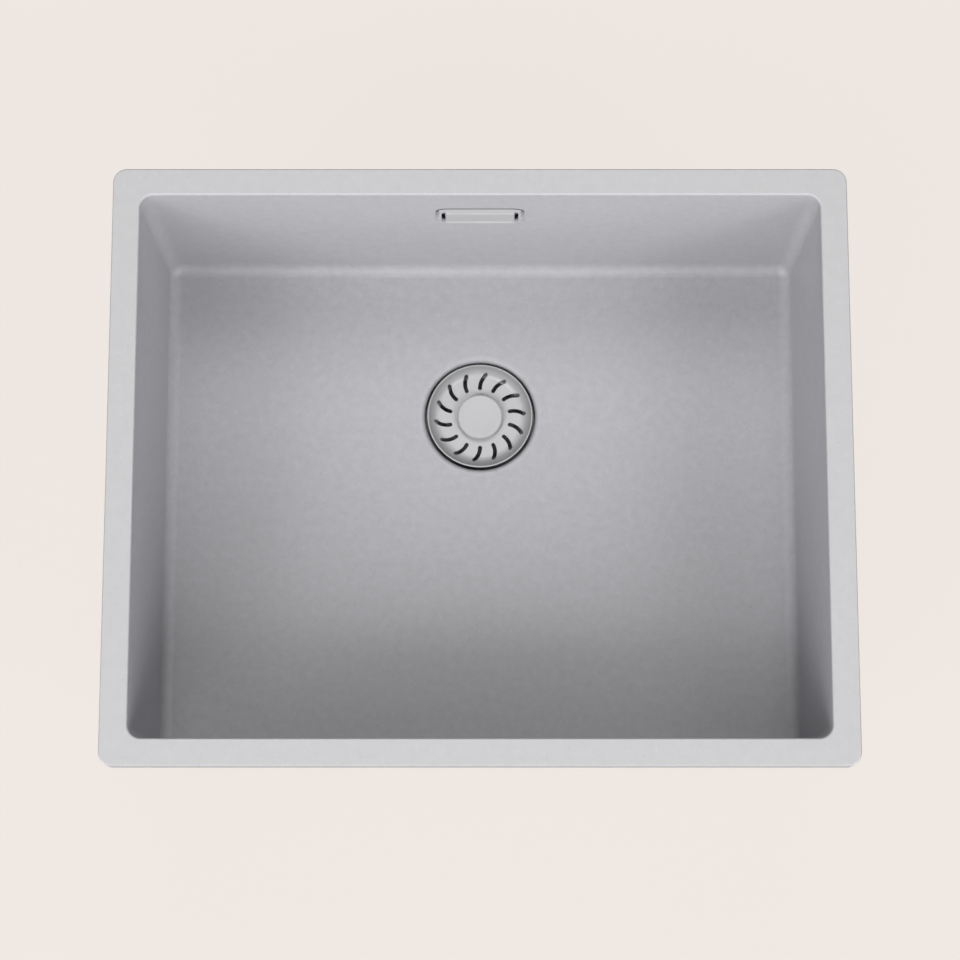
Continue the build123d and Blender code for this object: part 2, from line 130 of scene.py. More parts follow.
def noise(tree, coords, scale, detail=2.0, roughness=0.5):
    values = {"Scale": scale, "Detail": detail, "Roughness": roughness}
    made = addNode(tree, "ShaderNodeTexNoise", {}, values)
    tree.links.new(coords, made.inputs["Vector"])
    return made.outputs["Fac"]


def centred(tree, source):
    # a noise that swings about zero
    return mathNode(tree, "SUBTRACT", source, noiseMiddle)


def scaleVector(tree, vector, factor):
    made = addNode(tree, "ShaderNodeVectorMath", {"operation": "SCALE"})
    tree.links.new(vector, made.inputs[0])
    tree.links.new(factor, made.inputs["Scale"])
    return made.outputs[0]


def objectPlace(tree):
    return addNode(tree, "ShaderNodeTexCoord").outputs["Object"]


def objectAxes(tree):
    parts = addNode(tree, "ShaderNodeSeparateXYZ")
    tree.links.new(objectPlace(tree), parts.inputs[0])
    return parts.outputs


def seenRays(tree):
    # rays that show the pale background (straight, mirrored or through glass), and the camera's own
    rays = addNode(tree, "ShaderNodeLightPath").outputs
    seen = mathNode(tree, "MAXIMUM", rays["Is Camera Ray"], rays["Is Glossy Ray"])
    return mathNode(tree, "MAXIMUM", seen, rays["Is Transmission Ray"]), rays["Is Camera Ray"]


colourKind = "NodeSocketColor"
valueKind = "NodeSocketFloat"
vectorKind = "NodeSocketVector"
skinOutputs = [("Colour", colourKind), ("Roughness", valueKind), ("Height", valueKind)]


def startGroup(name, inputs):
    group = bpy.data.node_groups.new(name, "ShaderNodeTree")
    for label, kind, value in inputs:
        group.interface.new_socket(label, in_out="INPUT", socket_type=kind).default_value = value
    for label, kind in skinOutputs:
        group.interface.new_socket(label, in_out="OUTPUT", socket_type=kind)
    return group, group.nodes.new("NodeGroupInput"), group.nodes.new("NodeGroupOutput")


# Mineral grain of the cast composite: soft clouds, fine sand and a few flecks
mineralPattern = {
    "cloudScale": 150.0,
    "cloudDetail": 4.0,
    "sandScale": 1250.0,
    "sandDetail": 2.0,
    "roughness": 0.6,
    "fleckScale": 400.0,
    "fleckCore": 0.18,
    "fleckEdge": 0.32,
    "paleAbove": 0.82,
    "darkBelow": 0.14,
    "paleHeight": 0.3,
}


def makeMineralGrain(look):
    group, start, end = startGroup("mineralGrain", [
        ("Base", colourKind, (0.6, 0.6, 0.6, 1)),
        ("Fineness", valueKind, 1.0),
        ("Cloud", valueKind, 0.02),
        ("Sand", valueKind, 0.04),
        ("Fleck", valueKind, 0.1),
        ("Smooth", valueKind, 0.5),
        ("Rough", valueKind, 0.65),
    ])
    coords = scaleVector(group, objectPlace(group), start.outputs["Fineness"])
    clouds = noise(group, coords, look["cloudScale"], look["cloudDetail"], look["roughness"])
    sand = noise(group, coords, look["sandScale"], look["sandDetail"], look["roughness"])
    cells = addNode(group, "ShaderNodeTexVoronoi", {}, {"Scale": look["fleckScale"], "Randomness": 1.0})
    group.links.new(coords, cells.inputs["Vector"])
    tone = addNode(group, "ShaderNodeSeparateColor")
    group.links.new(cells.outputs["Color"], tone.inputs["Color"])
    spot = mapRange(group, cells.outputs["Distance"], look["fleckCore"], look["fleckEdge"], 1.0, 0.0)
    isPale = mathNode(group, "GREATER_THAN", tone.outputs["Red"], look["paleAbove"])
    isDark = mathNode(group, "LESS_THAN", tone.outputs["Red"], look["darkBelow"])
    pale = mathNode(group, "MULTIPLY", spot, isPale)
    dark = mathNode(group, "MULTIPLY", spot, isDark)
    cloudShift = mathNode(group, "MULTIPLY", centred(group, clouds), start.outputs["Cloud"])
    sandShift = mathNode(group, "MULTIPLY", centred(group, sand), start.outputs["Sand"])
    fleckShift = mathNode(group, "MULTIPLY", mathNode(group, "SUBTRACT", pale, dark), start.outputs["Fleck"])
    shift = mathNode(group, "ADD", mathNode(group, "ADD", cloudShift, sandShift), fleckShift)
    level = mathNode(group, "ADD", shift, 1.0)
    group.links.new(scaleVector(group, start.outputs["Base"], level), end.inputs["Colour"])
    rough = mapRange(group, sand, noiseLow, noiseHigh, start.outputs["Smooth"], start.outputs["Rough"])
    group.links.new(rough, end.inputs["Roughness"])
    raised = mathNode(group, "MULTIPLY", pale, look["paleHeight"])
    group.links.new(mathNode(group, "ADD", sand, raised), end.inputs["Height"])
    return group


# Skin of a moulded piece: faint flow streaks and a fine spark-eroded texture
mouldedPattern = {
    "stretch": (1.0, 1.0, 0.25),
    "streakScale": 60.0,
    "streakDetail": 4.0,
    "streakRoughness": 0.6,
    "grainDetail": 2.0,
}


def makeMouldedSkin(look):
    group, start, end = startGroup("mouldedSkin", [
        ("Base", colourKind, (0.5, 0.5, 0.5, 1)),
        ("Streak", valueKind, 0.06),
        ("Grain Scale", valueKind, 900.0),
        ("Smooth", valueKind, 0.4),
        ("Rough", valueKind, 0.6),
    ])
    coords = objectPlace(group)
    stretched = addNode(group, "ShaderNodeMapping", {}, {"Scale": look["stretch"]})
    group.links.new(coords, stretched.inputs["Vector"])
    streaks = noise(group, stretched.outputs["Vector"], look["streakScale"],
                    look["streakDetail"], look["streakRoughness"])
    grain = addNode(group, "ShaderNodeTexNoise", {}, {"Detail": look["grainDetail"]})
    group.links.new(coords, grain.inputs["Vector"])
    group.links.new(start.outputs["Grain Scale"], grain.inputs["Scale"])
    shift = mathNode(group, "MULTIPLY", centred(group, streaks), start.outputs["Streak"])
    level = mathNode(group, "ADD", shift, 1.0)
    group.links.new(scaleVector(group, start.outputs["Base"], level), end.inputs["Colour"])
    rough = mapRange(group, streaks, noiseLow, noiseHigh, start.outputs["Smooth"], start.outputs["Rough"])
    group.links.new(rough, end.inputs["Roughness"])
    group.links.new(grain.outputs["Fac"], end.inputs["Height"])
    return group


# Fine tool marks in metal, along the lines where Lines stays the same
toolPattern = {
    "lineScale": 1800.0,
    "lineDetail": 3.0,
    "lineRoughness": 0.7,
    "stainScale": 90.0,
    "stainDetail": 3.0,
}


def makeToolMarks(look):
    group, start, end = startGroup("toolMarks", [
        ("Lines", vectorKind, (0, 0, 0)),
        ("Base", colourKind, (0.6, 0.6, 0.6, 1)),
        ("Mark", valueKind, 0.15),
        ("Smooth", valueKind, 0.25),
        ("Rough", valueKind, 0.4),
    ])
    lines = noise(group, start.outputs["Lines"], look["lineScale"], look["lineDetail"], look["lineRoughness"])
    stain = noise(group, objectPlace(group), look["stainScale"], look["stainDetail"])
    shift = mathNode(group, "ADD", centred(group, lines), centred(group, stain))
    level = mathNode(group, "ADD", mathNode(group, "MULTIPLY", shift, start.outputs["Mark"]), 1.0)
    group.links.new(scaleVector(group, start.outputs["Base"], level), end.inputs["Colour"])
    rough = mapRange(group, stain, noiseLow, noiseHigh, start.outputs["Smooth"], start.outputs["Rough"])
    group.links.new(rough, end.inputs["Roughness"])
    group.links.new(lines, end.inputs["Height"])
    return group


mineralGrain = makeMineralGrain(mineralPattern)
mouldedSkin = makeMouldedSkin(mouldedPattern)
toolMarks = makeToolMarks(toolPattern)
print("node groups built")

# Finishes
bumpStrength = {"stone": 0.5, "moulded": 0.4, "metal": 0.3}
drainY = (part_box("drain_cup")[0].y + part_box("drain_cup")[1].y) / 2


def startMaterial(name, group, values):
    made = bpy.data.materials.new(name)
    made.use_nodes = True
    tree = made.node_tree
    shader = tree.nodes["Principled BSDF"]
    skin = addNode(tree, "ShaderNodeGroup", {"node_tree": group}, values)
    tree.links.new(skin.outputs["Colour"], shader.inputs["Base Color"])
    tree.links.new(skin.outputs["Roughness"], shader.inputs["Roughness"])
    return made, tree, shader, skin


def addBump(tree, shader, height, strength, depth):
    bump = addNode(tree, "ShaderNodeBump", {}, {"Strength": strength, "Distance": depth})
    tree.links.new(height, bump.inputs["Height"])
    tree.links.new(bump.outputs["Normal"], shader.inputs["Normal"])


def scaleColour(made, share, factor):
    # lightens or darkens the base colour where share is 1
    tree = made.node_tree
    base = tree.nodes["Principled BSDF"].inputs["Base Color"]
    level = mapRange(tree, share, 0.0, 1.0, 1.0, factor)
    tree.links.new(scaleVector(tree, base.links[0].from_socket, level), base)


def aboutDrain(tree):
    # distance from the drain's axis, and height
    place = addNode(tree, "ShaderNodeMapping", {}, {"Location": (0, -drainY, 0)})
    tree.links.new(objectPlace(tree), place.inputs["Vector"])
    parts = addNode(tree, "ShaderNodeSeparateXYZ")
    tree.links.new(place.outputs["Vector"], parts.inputs[0])
    flat = addNode(tree, "ShaderNodeCombineXYZ")
    tree.links.new(parts.outputs["X"], flat.inputs["X"])
    tree.links.new(parts.outputs["Y"], flat.inputs["Y"])
    away = addNode(tree, "ShaderNodeVectorMath", {"operation": "LENGTH"})
    tree.links.new(flat.outputs[0], away.inputs[0])
    return away.outputs["Value"], parts.outputs["Z"]


# Cast stone: the skin that shows, the ground rim, the rough back, and painted light and shade
stone = {
    "colour": (0.437, 0.437, 0.46, 1),
    "fineness": 1.0,
    "cloud": 0.24,
    "sand": 0.12,
    "fleck": 0.1,
    "smooth": 0.36,
    "rough": 0.48,
}
# paler stone for the rim's top face (ground, and partly painted light) and for the overflow cut's faces
# (painted light)
stoneGroundAndLit = {
    "colour": (0.512, 0.513, 0.525, 1),
    "fineness": 0.8,
    "cloud": 0.12,
    "sand": 0.06,
    "fleck": 0.06,
    "smooth": 0.42,
    "rough": 0.52,
}
stoneBack = {
    "colour": (0.37, 0.369, 0.375, 1),
    "fineness": 0.6,
    "cloud": 0.16,
    "sand": 0.3,
    "fleck": 0.12,
    "smooth": 0.7,
    "rough": 0.9,
}
stoneDepth = {"face": 0.00005, "back": 0.0003}  # height of the grain in metres
groundRimAndLight = {"foot": -0.0004, "top": -0.0001}  # the rim's top face is ground flat and paler than the cast skin; the paleness is partly painted light for the stronger light on the top face
rimSideShade = {  # painted shade: the outside of the rim is a little darker
    "x": 0.2692,
    "y": 0.2192,
    "edge": 0.0006,
    "shade": 0.7,
}
shellMiddle = {  # outside the middle of its shell the casting keeps the rough skin of the mould's back half
    "x": 0.2535,
    "y": 0.2035,
    "floor": 0.187,
    "lean": 0.022,
    "rimFoot": 0.0115,
    "edge": 0.002,
}
overflowPocket = {  # the skin that shows goes deeper into the wall here
    "halfLength": 0.0297,
    "foot": -0.0715,
    "top": -0.0455,
    "extra": 0.0045,
}
overflowCut = {  # recess cut into the back wall
    "middle": -0.0495,
    "halfLength": 0.0335,
    "halfHeight": 0.0155,
    "corner": 0.009,
    "wallTop": 0.2,
    "wallBack": 0.2065,
    "skin": 0.0002,  # depth from which the cut's faces are painted paler with the rim's stone, painted light
    "paintedLightShare": 0.75,
    "fadeFoot": -0.063,  # the painted light fades out towards the foot, beside the cover
    "fadeTop": -0.05,
    "lipLevel": -0.0657,  # painted highlight along the lower lip in front of the cover
    "lipHalf": 0.0275,
    "lipEnd": 0.003,
    "lipWidth": 0.0019,
    "lipPaintedLift": 1.07,
}
cutShadowLine = {  # painted shadow: a dark line along the cut, above its upper edge, and inside it at the ends
    "foot": -0.06,
    "side": -0.043,
    "top": -0.035,
    "sidePlace": -0.0016,
    "topPlace": 0.0005,
    "halfWidth": 0.0016,
    "core": 0.6,  # share of the width that is fully dark
    "sideShare": 0.6,
    "shade": 0.02,
}
drainLip = {  # the lip of the drain hole rolls over softly, and a ring on it is painted paler, a painted highlight
    "outer": 0.049,
    "roll": 85.0,  # the dip is this times the squared distance inside outer
    "middle": 0.0464,
    "halfWidth": 0.0025,
    "core": 0.4,  # share of the width that is fully paler
    "paintedLift": 1.07,
    "below": 0.004,  # ends this far under the strainer's top
}


def grainValues(finish):
    labels = ("Fineness", "Cloud", "Sand", "Fleck", "Smooth", "Rough")
    values = {label: finish[label.lower()] for label in labels}
    values["Base"] = finish["colour"]
    return values


def backMask(tree):
    axes = objectAxes(tree)
    awayX = mathNode(tree, "ABSOLUTE", axes["X"])
    awayY = mathNode(tree, "ABSOLUTE", axes["Y"])
    down = mathNode(tree, "MULTIPLY", axes["Z"], -1.0)
    lean = mathNode(tree, "MULTIPLY", down, shellMiddle["lean"])
    inPocket = mathNode(tree, "LESS_THAN", awayX, overflowPocket["halfLength"])
    for axis, test, limit in (
        ("Y", "GREATER_THAN", 0.0),
        ("Z", "GREATER_THAN", overflowPocket["foot"]),
        ("Z", "LESS_THAN", overflowPocket["top"]),
    ):
        inPocket = mathNode(tree, "MULTIPLY", inPocket, mathNode(tree, test, axes[axis], limit))
    pastX = mathNode(tree, "SUBTRACT", mathNode(tree, "ADD", awayX, lean), shellMiddle["x"])
    pastY = mathNode(tree, "SUBTRACT", mathNode(tree, "ADD", awayY, lean), shellMiddle["y"])
    pastY = mathNode(tree, "SUBTRACT", pastY, mathNode(tree, "MULTIPLY", inPocket, overflowPocket["extra"]))
    pastZ = mathNode(tree, "SUBTRACT", down, shellMiddle["floor"])
    past = mathNode(tree, "MAXIMUM", mathNode(tree, "MAXIMUM", pastX, pastY), pastZ)
    below = mathNode(tree, "SUBTRACT", down, shellMiddle["rimFoot"])
    outside = mathNode(tree, "MINIMUM", past, below)
    return mapRange(tree, outside, 0.0, shellMiddle["edge"], 0.0, 1.0)


# partly painted light: the rim's top face gets the paler stone
def rimGroundAndLightMask(tree):
    return mapRange(tree, objectAxes(tree)["Z"], groundRimAndLight["foot"], groundRimAndLight["top"], 0.0, 1.0)


# painted shade on the outside faces of the rim
def rimSideShadeMask(tree):
    axes = objectAxes(tree)
    pastX = mathNode(tree, "SUBTRACT", mathNode(tree, "ABSOLUTE", axes["X"]), rimSideShade["x"])
    pastY = mathNode(tree, "SUBTRACT", mathNode(tree, "ABSOLUTE", axes["Y"]), rimSideShade["y"])
    return mapRange(tree, mathNode(tree, "MAXIMUM", pastX, pastY), 0.0, rimSideShade["edge"], 0.0, 1.0)


def overflowMasks(tree, cut, shadowLook):
    # painted light on the cut's faces, a painted highlight along its lower lip, and a painted shadow line
    # along it
    axes = objectAxes(tree)
    height = axes["Z"]
    awayX = mathNode(tree, "ABSOLUTE", axes["X"])
    across = mathNode(tree, "SUBTRACT", awayX, cut["halfLength"] - cut["corner"])
    across = mathNode(tree, "MAXIMUM", across, 0.0)
    upDown = mathNode(tree, "ABSOLUTE", mathNode(tree, "SUBTRACT", height, cut["middle"]))
    upDown = mathNode(tree, "SUBTRACT", upDown, cut["halfHeight"] - cut["corner"])
    upDown = mathNode(tree, "MAXIMUM", upDown, 0.0)
    square = mathNode(tree, "ADD", mathNode(tree, "POWER", across, 2.0), mathNode(tree, "POWER", upDown, 2.0))
    outside = mathNode(tree, "SUBTRACT", mathNode(tree, "SQRT", square), cut["corner"])
    wall = mathNode(tree, "ADD", mathNode(tree, "MULTIPLY", height, shellMiddle["lean"]), cut["wallTop"])
    depth = mathNode(tree, "SUBTRACT", axes["Y"], wall)
    inWall = mathNode(tree, "LESS_THAN", axes["Y"], cut["wallBack"])
    inWall = mathNode(tree, "MULTIPLY", inWall, mathNode(tree, "GREATER_THAN", depth, -cut["skin"]))
    # painted light: the cut's faces are paler, as they tilt up towards the lamps
    cutPaintedLight = mapRange(tree, depth, cut["skin"] / 2, cut["skin"], 0.0, cut["paintedLightShare"])
    cutPaintedLight = mathNode(tree, "MULTIPLY", cutPaintedLight, mathNode(tree, "LESS_THAN", outside, cut["skin"]))
    fade = mapRange(tree, height, cut["fadeFoot"], cut["fadeTop"], 0.0, 1.0)
    cutPaintedLight = mathNode(tree, "MULTIPLY", cutPaintedLight, fade)
    # painted highlight along the cut's lower lip
    lip = mathNode(tree, "ABSOLUTE", mathNode(tree, "SUBTRACT", height, cut["lipLevel"]))
    lip = mapRange(tree, lip, cut["lipWidth"] / 2, cut["lipWidth"], 1.0, 0.0)
    lipEnd = mapRange(tree, awayX, cut["lipHalf"] - cut["lipEnd"], cut["lipHalf"], 1.0, 0.0)
    lip = mathNode(tree, "MULTIPLY", lip, lipEnd)
    lip = mathNode(tree, "MULTIPLY", lip, inWall)
    cutPaintedLight = mathNode(tree, "MAXIMUM", mathNode(tree, "MULTIPLY", cutPaintedLight, inWall), lip)
    # painted shadow line along the cut's edge
    place = mapRange(tree, height, shadowLook["side"], shadowLook["top"], shadowLook["sidePlace"], shadowLook["topPlace"])
    line = mathNode(tree, "ABSOLUTE", mathNode(tree, "SUBTRACT", outside, place))
    line = mapRange(tree, line, shadowLook["halfWidth"] * shadowLook["core"], shadowLook["halfWidth"], 1.0, 0.0)
    share = mapRange(tree, height, shadowLook["foot"], shadowLook["side"], 0.0, shadowLook["sideShare"])
    above = mapRange(tree, height, shadowLook["side"], shadowLook["top"], 0.0, 1.0 - shadowLook["sideShare"])
    line = mathNode(tree, "MULTIPLY", line, mathNode(tree, "ADD", share, above))
    return cutPaintedLight, lip, mathNode(tree, "MULTIPLY", line, inWall)


def drainLipMasks(tree, lip):
    # the painted highlight ring round the hole, and how far the floor rolls down into it
    away, level = aboutDrain(tree)
    onFloor = mathNode(tree, "GREATER_THAN", level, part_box("strainer_plate")[1].z - lip["below"])
    ring = mathNode(tree, "ABSOLUTE", mathNode(tree, "SUBTRACT", away, lip["middle"]))
    ring = mapRange(tree, ring, lip["halfWidth"] * lip["core"], lip["halfWidth"], 1.0, 0.0)
    dip = mathNode(tree, "MAXIMUM", mathNode(tree, "SUBTRACT", lip["outer"], away), 0.0)
    dip = mathNode(tree, "MULTIPLY", mathNode(tree, "POWER", dip, 2.0), lip["roll"] / stoneDepth["back"])
    return mathNode(tree, "MULTIPLY", ring, onFloor), mathNode(tree, "MULTIPLY", dip, onFloor)


def makeStone(face, rim, back):
    made, tree, shader, skin = startMaterial("composite stone", mineralGrain, grainValues(face))
    groundAndLitSkin = addNode(tree, "ShaderNodeGroup", {"node_tree": mineralGrain}, grainValues(rim))
    backSkin = addNode(tree, "ShaderNodeGroup", {"node_tree": mineralGrain}, grainValues(back))
    colour = skin.outputs["Colour"]
    rough = skin.outputs["Roughness"]
    mask = backMask(tree)
    cutPaintedLight, lip, line = overflowMasks(tree, overflowCut, cutShadowLine)
    ring, dip = drainLipMasks(tree, drainLip)
    # paler stone on the rim and in the cut: painted light in part
    groundAndLitShare = mathNode(tree, "MAXIMUM", rimGroundAndLightMask(tree), cutPaintedLight)
    for share, other in ((groundAndLitShare, groundAndLitSkin), (mask, backSkin)):
        colour = mixColour(tree, share, colour, other.outputs["Colour"])
        rough = mapRange(tree, share, 0.0, 1.0, rough, other.outputs["Roughness"])
    rough = mapRange(tree, line, 0.0, 1.0, rough, 1.0)
    tree.links.new(colour, shader.inputs["Base Color"])
    tree.links.new(rough, shader.inputs["Roughness"])
    # painted shadow line, painted highlights on the cut's lip and round the drain hole, and painted shade on
    # the rim's outside
    for share, factor in (
        (line, cutShadowLine["shade"]),
        (lip, overflowCut["lipPaintedLift"]),
        (ring, drainLip["paintedLift"]),
        (rimSideShadeMask(tree), rimSideShade["shade"]),
    ):
        scaleColour(made, share, factor)
    faceHeight = mathNode(tree, "MULTIPLY", skin.outputs["Height"], stoneDepth["face"] / stoneDepth["back"])
    height = mapRange(tree, mask, 0.0, 1.0, faceHeight, backSkin.outputs["Height"])
    height = mathNode(tree, "SUBTRACT", height, dip)
    addBump(tree, shader, height, bumpStrength["stone"], stoneDepth["back"])
    return made


# Coatings, plastics and rubber
coating = {
    "colour": (0.5, 0.5, 0.51, 1),
    "streak": 0.05,
    "smooth": 0.34,
    "rough": 0.42,
    "grainScale": 1400.0,
    "grainDepth": 0.00002,
}
coverSkin = {
    "colour": (0.46, 0.46, 0.472, 1),
    "streak": 0.05,
    "smooth": 0.42,
    "rough": 0.52,
    "grainScale": 1400.0,
    "grainDepth": 0.00002,
}
cupCoating = {
    "colour": (0.11, 0.11, 0.115, 1),
    "streak": 0.25,
    "smooth": 0.22,
    "rough": 0.34,
    "grainScale": 1400.0,
    "grainDepth": 0.00002,
}
rubber = {
    "colour": (0.04, 0.04, 0.042, 1),
    "streak": 0.3,
    "smooth": 0.45,
    "rough": 0.65,
    "grainScale": 700.0,
    "grainDepth": 0.00004,
}
wastePlastic = {
    "colour": (0.68, 0.68, 0.67, 1),
    "streak": 0.08,
    "smooth": 0.38,
    "rough": 0.52,
    "grainScale": 900.0,
    "grainDepth": 0.00004,
}
nutPlastic = {
    "colour": (0.16, 0.165, 0.175, 1),
    "streak": 0.15,
    "smooth": 0.4,
    "rough": 0.55,
    "grainScale": 900.0,
    "grainDepth": 0.00004,
}
stemPlastic = {
    "colour": (0.06, 0.06, 0.064, 1),
    "streak": 0.2,
    "smooth": 0.26,
    "rough": 0.4,
    "grainScale": 900.0,
    "grainDepth": 0.00004,
}
clipPlastic = {
    "colour": (0.6, 0.592, 0.56, 1),
    "streak": 0.06,
    "smooth": 0.4,
    "rough": 0.5,
    "grainScale": 900.0,
    "grainDepth": 0.00003,
}
dishWallShade = {  # painted shade: the coating is darker up the dish's wall
    "foot": 0.0345,
    "top": 0.0395,
    "lip": 0.0407,
    "shade": 0.57,
}
coverEdgeHighlight = {"width": 0.0006, "paintedLift": 1.15}  # painted highlight along the upper and lower edge
insidePaintedLight = {  # painted light inside the cup, mottled: it stands in for the light that comes through the strainer's slots
    "radius": 0.0395,
    "edge": 0.001,
    "markScale": 120.0,
    "markDetail": 3.0,
    "least": 0.6,  # share of the painted light where it is thinnest
    "cupLift": 2.7,
    "sealLift": 6.0,
    "stemLift": 4.0,
}


def makeMoulded(name, finish):
    made, tree, shader, skin = startMaterial(name, mouldedSkin, {
        "Base": finish["colour"],
        "Streak": finish["streak"],
        "Grain Scale": finish["grainScale"],
        "Smooth": finish["smooth"],
        "Rough": finish["rough"],
    })
    addBump(tree, shader, skin.outputs["Height"], bumpStrength["moulded"], finish["grainDepth"])
    return made


def makeCoating(finish, wall):
    made = makeMoulded("satin coating", finish)
    tree = made.node_tree
    away = aboutDrain(tree)[0]
    # painted shade up the dish's wall
    share = mapRange(tree, away, wall["foot"], wall["top"], 0.0, 1.0)
    share = mathNode(tree, "MULTIPLY", share, mathNode(tree, "LESS_THAN", away, wall["lip"]))
    scaleColour(made, share, wall["shade"])
    return made


def makeInsideLit(name, finish, insideLight, paintedLift):
    made = makeMoulded(name, finish)
    tree = made.node_tree
    away = aboutDrain(tree)[0]
    # painted light inside the cup, on the seal and on the stem
    share = mapRange(tree, away, insideLight["radius"] - insideLight["edge"], insideLight["radius"], 1.0, 0.0)
    mottle = noise(tree, objectPlace(tree), insideLight["markScale"], insideLight["markDetail"])
    mottle = mapRange(tree, mottle, noiseLow, noiseHigh, insideLight["least"], 1.0)
    scaleColour(made, mathNode(tree, "MULTIPLY", share, mottle), paintedLift)
    return made


def makeCoverSkin(finish, edgeHighlight):
    made = makeMoulded("cover skin", finish)
    tree = made.node_tree
    low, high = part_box("overflow_cover")
    height = objectAxes(tree)["Z"]
    # painted highlight along the cover's upper and lower edges
    above = mapRange(tree, height, high.z - edgeHighlight["width"], high.z, 0.0, 1.0)
    under = mapRange(tree, height, low.z, low.z + edgeHighlight["width"], 1.0, 0.0)
    scaleColour(made, mathNode(tree, "MAXIMUM", above, under), edgeHighlight["paintedLift"])
    return made


# Metals
steel = {
    "colour": (0.58, 0.58, 0.575, 1),
    "mark": 0.25,
    "smooth": 0.24,
    "rough": 0.36,
    "markDepth": 0.00001,
}
brass = {
    "colour": (0.72, 0.52, 0.24, 1),
    "mark": 0.25,
    "smooth": 0.25,
    "rough": 0.38,
    "markDepth": 0.00001,
}
brushStretch = (0.02, 1.0, 1.0)


def makeMetal(name, finish, lines):
    made, tree, shader, skin = startMaterial(name, toolMarks, {
        "Base": finish["colour"],
        "Mark": finish["mark"],
        "Smooth": finish["smooth"],
        "Rough": finish["rough"],
    })
    shader.inputs["Metallic"].default_value = 1.0
    tree.links.new(lines(tree), skin.inputs["Lines"])
    addBump(tree, shader, skin.outputs["Height"], bumpStrength["metal"], finish["markDepth"])
    return made


def turnedLines(tree):
    # rings about the drain's axis
    away, height = aboutDrain(tree)
    joined = addNode(tree, "ShaderNodeCombineXYZ")
    tree.links.new(away, joined.inputs["X"])
    tree.links.new(height, joined.inputs["Z"])
    return joined.outputs[0]


def brushedLines(tree):
    # straight strokes along X
    place = addNode(tree, "ShaderNodeMapping", {}, {"Scale": brushStretch})
    tree.links.new(objectPlace(tree), place.inputs["Vector"])
    return place.outputs["Vector"]


materials = {
    "composite": makeStone(stone, stoneGroundAndLit, stoneBack),
    "strainer_finish": makeCoating(coating, dishWallShade),
    "cover_finish": makeCoverSkin(coverSkin, coverEdgeHighlight),
    "cup_finish": makeInsideLit("black coating", cupCoating, insidePaintedLight, insidePaintedLight["cupLift"]),
    "rubber": makeMoulded("black rubber", rubber),
    "waste_plastic": makeMoulded("pale moulded plastic", wastePlastic),
    "nut_plastic": makeMoulded("dark moulded plastic", nutPlastic),
    "stem_plastic": makeInsideLit("black moulded plastic", stemPlastic, insidePaintedLight, insidePaintedLight["stemLift"]),
    "clip_plastic": makeMoulded("natural plastic", clipPlastic),
    "steel": makeMetal("turned steel", steel, turnedLines),
    "brass": makeMetal("turned brass", brass, turnedLines),
}
brushedSteel = makeMetal("brushed steel", steel, brushedLines)
# seal rubber with painted light where it shows through the slots
rubberInsideLit = makeInsideLit("insideLit rubber", rubber, insidePaintedLight, insidePaintedLight["sealLift"])
slotOf = {part["node"]: part["material_slot"] for part in frame["record"]["subparts"]}
for name, piece in nodes.items():
    piece.data.materials.clear()
    piece.data.materials.append(materials[slotOf[name]])
nodes["overflow_bridge"].data.materials[0] = brushedSteel
nodes["strainer_seal"].data.materials[0] = rubberInsideLit
print("finishes assigned to", len(nodes), "parts")

# Thread on the outlet, one ridge wound round it
outletThread = {
    "pitch": 0.002309,
    "turns": 8,
    "stepsPerTurn": 60,
    "sunk": 0.0003,
    "proud": 0.00045,
    "rootWidth": 0.0017,
    "crestWidth": 0.0006,
    "startGap": 0.0022,  # from the outlet's lower end
}


def makeOutletThread(look):
    mount = next(m for m in frame["record"]["mounts"] if m["name"] == "waste_outlet")
    radius = mount["dims"]["r_mm"] / 1000
    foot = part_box("waste_body")[0].z + look["startGap"]
    shape = bmesh.new()
    ring = []
    for away, up in (
        (-look["sunk"], -look["rootWidth"] / 2),
        (look["proud"], -look["crestWidth"] / 2),
        (look["proud"], look["crestWidth"] / 2),
        (-look["sunk"], look["rootWidth"] / 2),
    ):
        ring.append(shape.verts.new((radius + away, drainY, foot + up)))
    edges = [shape.edges.new((ring[i], ring[(i + 1) % len(ring)])) for i in range(len(ring))]
    steps = look["turns"] * look["stepsPerTurn"]
    bmesh.ops.spin(shape, geom=ring + edges, cent=(0, drainY, 0), axis=(0, 0, 1),
                   dvec=(0, 0, look["pitch"] / look["stepsPerTurn"]),
                   angle=2 * math.pi * look["turns"], steps=steps, use_duplicate=False)
    bmesh.ops.holes_fill(shape, edges=[e for e in shape.edges if e.is_boundary], sides=len(ring))
    bmesh.ops.recalc_face_normals(shape, faces=shape.faces)
    mesh = bpy.data.meshes.new("outlet_thread")
    shape.to_mesh(mesh)
    shape.free()
    mesh.materials.append(materials["waste_plastic"])
    thread = bpy.data.objects.new("outlet_thread", mesh)
    scene.collection.objects.link(thread)
    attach(thread, "sink")


makeOutletThread(outletThread)
print("thread wound")

# Floor under the sink, pale, with a faint shadow
floorLook = {
    "colour": (0.863, 0.807, 0.761, 1),
    "gap": 0.0005,
    "size": 14.0,
    "cells": 4,
    "shadowShare": 0.05,
}


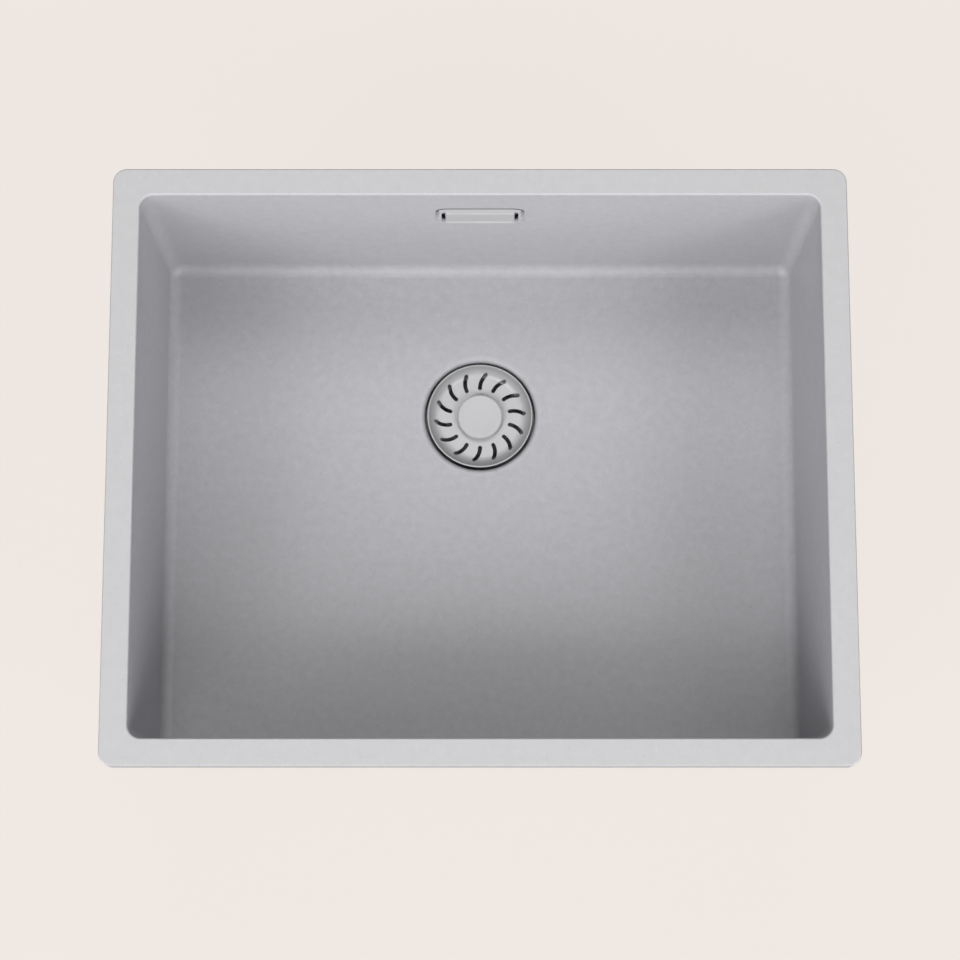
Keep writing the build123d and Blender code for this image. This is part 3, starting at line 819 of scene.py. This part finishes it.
def makeFloor(look):
    shape = bmesh.new()
    bmesh.ops.create_grid(shape, x_segments=look["cells"], y_segments=look["cells"], size=look["size"] / 2)
    bmesh.ops.translate(shape, verts=shape.verts, vec=(0, 0, cadBox[0].z - look["gap"]))
    mesh = bpy.data.meshes.new("floor")
    shape.to_mesh(mesh)
    shape.free()
    floor = bpy.data.objects.new("floor", mesh)
    scene.collection.objects.link(floor)
    paint = bpy.data.materials.new("pale floor")
    paint.use_nodes = True
    tree = paint.node_tree
    tree.nodes.remove(tree.nodes["Principled BSDF"])
    matt = addNode(tree, "ShaderNodeBsdfDiffuse", {}, {"Color": look["colour"]})
    glow = addNode(tree, "ShaderNodeEmission", {}, {"Color": look["colour"], "Strength": 1.0})
    seen, cameraRay = seenRays(tree)
    mix = addNode(tree, "ShaderNodeMixShader")
    tree.links.new(mathNode(tree, "MULTIPLY", seen, 1.0 - look["shadowShare"]), mix.inputs["Fac"])
    tree.links.new(matt.outputs[0], mix.inputs[1])
    tree.links.new(glow.outputs[0], mix.inputs[2])
    clear = addNode(tree, "ShaderNodeBsdfTransparent")  # seen from below, the floor is left out
    under = addNode(tree, "ShaderNodeNewGeometry").outputs["Backfacing"]
    sight = addNode(tree, "ShaderNodeMixShader")
    tree.links.new(mathNode(tree, "MULTIPLY", under, cameraRay), sight.inputs["Fac"])
    tree.links.new(mix.outputs[0], sight.inputs[1])
    tree.links.new(clear.outputs[0], sight.inputs[2])
    tree.links.new(sight.outputs[0], tree.nodes["Material Output"].inputs["Surface"])
    mesh.materials.append(paint)


makeFloor(floorLook)

# Light: soft boxes in front, one on the right, one behind, and a dim sky
sky = {"strength": 0.01, "colour": (1, 1, 1, 1)}
boxStand = {"size": 2.55, "distance": 6.0}
softBoxes = {
    "leftBox": {"azimuth": -45, "elevation": 40, "level": 0.362},
    "leftHighBox": {"azimuth": -45, "elevation": 58, "level": 0.205},
    "rightBox": {"azimuth": 45, "elevation": 40, "level": 0.347},
    "lowLeftBox": {"azimuth": -52, "elevation": 15, "level": 0.17},
    "lowBox": {"azimuth": 0, "elevation": 15, "level": 0.185},
    "lowRightBox": {"azimuth": 52, "elevation": 15, "level": 0.17},
    "frontBox": {"azimuth": 0, "elevation": 30, "level": 0.212},
    "rightTopBox": {"azimuth": 90, "elevation": 60, "level": 0.079},
    "backTopBox": {"azimuth": 180, "elevation": 65, "level": 0.238},
}


def makeSky(look):
    world = bpy.data.worlds.new("sky")
    scene.world = world
    world.use_nodes = True
    tree = world.node_tree
    light = tree.nodes["Background"]
    light.inputs["Color"].default_value = look["colour"]
    light.inputs["Strength"].default_value = look["strength"]
    shown = addNode(tree, "ShaderNodeBackground", {}, {"Color": floorLook["colour"], "Strength": 1.0})
    mix = addNode(tree, "ShaderNodeMixShader")
    tree.links.new(seenRays(tree)[0], mix.inputs["Fac"])
    tree.links.new(light.outputs[0], mix.inputs[1])
    tree.links.new(shown.outputs[0], mix.inputs[2])
    tree.links.new(mix.outputs[0], tree.nodes["World Output"].inputs["Surface"])


def makeSoftBox(name, look, stand):
    data = bpy.data.lights.new(name, "AREA")
    data.shape = "DISK"
    data.size = stand["size"]
    data.energy = look["level"] * (math.pi * stand["distance"]) ** 2  # level 1 lights white to 1
    lamp = bpy.data.objects.new(name, data)
    turn = math.radians(look["azimuth"])
    rise = math.radians(look["elevation"])
    way = Vector((math.sin(turn) * math.cos(rise), -math.cos(turn) * math.cos(rise), math.sin(rise)))
    lamp.location = way * stand["distance"]
    lamp.rotation_mode = "QUATERNION"
    lamp.rotation_quaternion = way.to_track_quat("Z", "Y")
    lamp.visible_camera = False
    scene.collection.objects.link(lamp)


makeSky(sky)
for name, look in softBoxes.items():
    makeSoftBox(name, look, boxStand)
print("floor and light set")
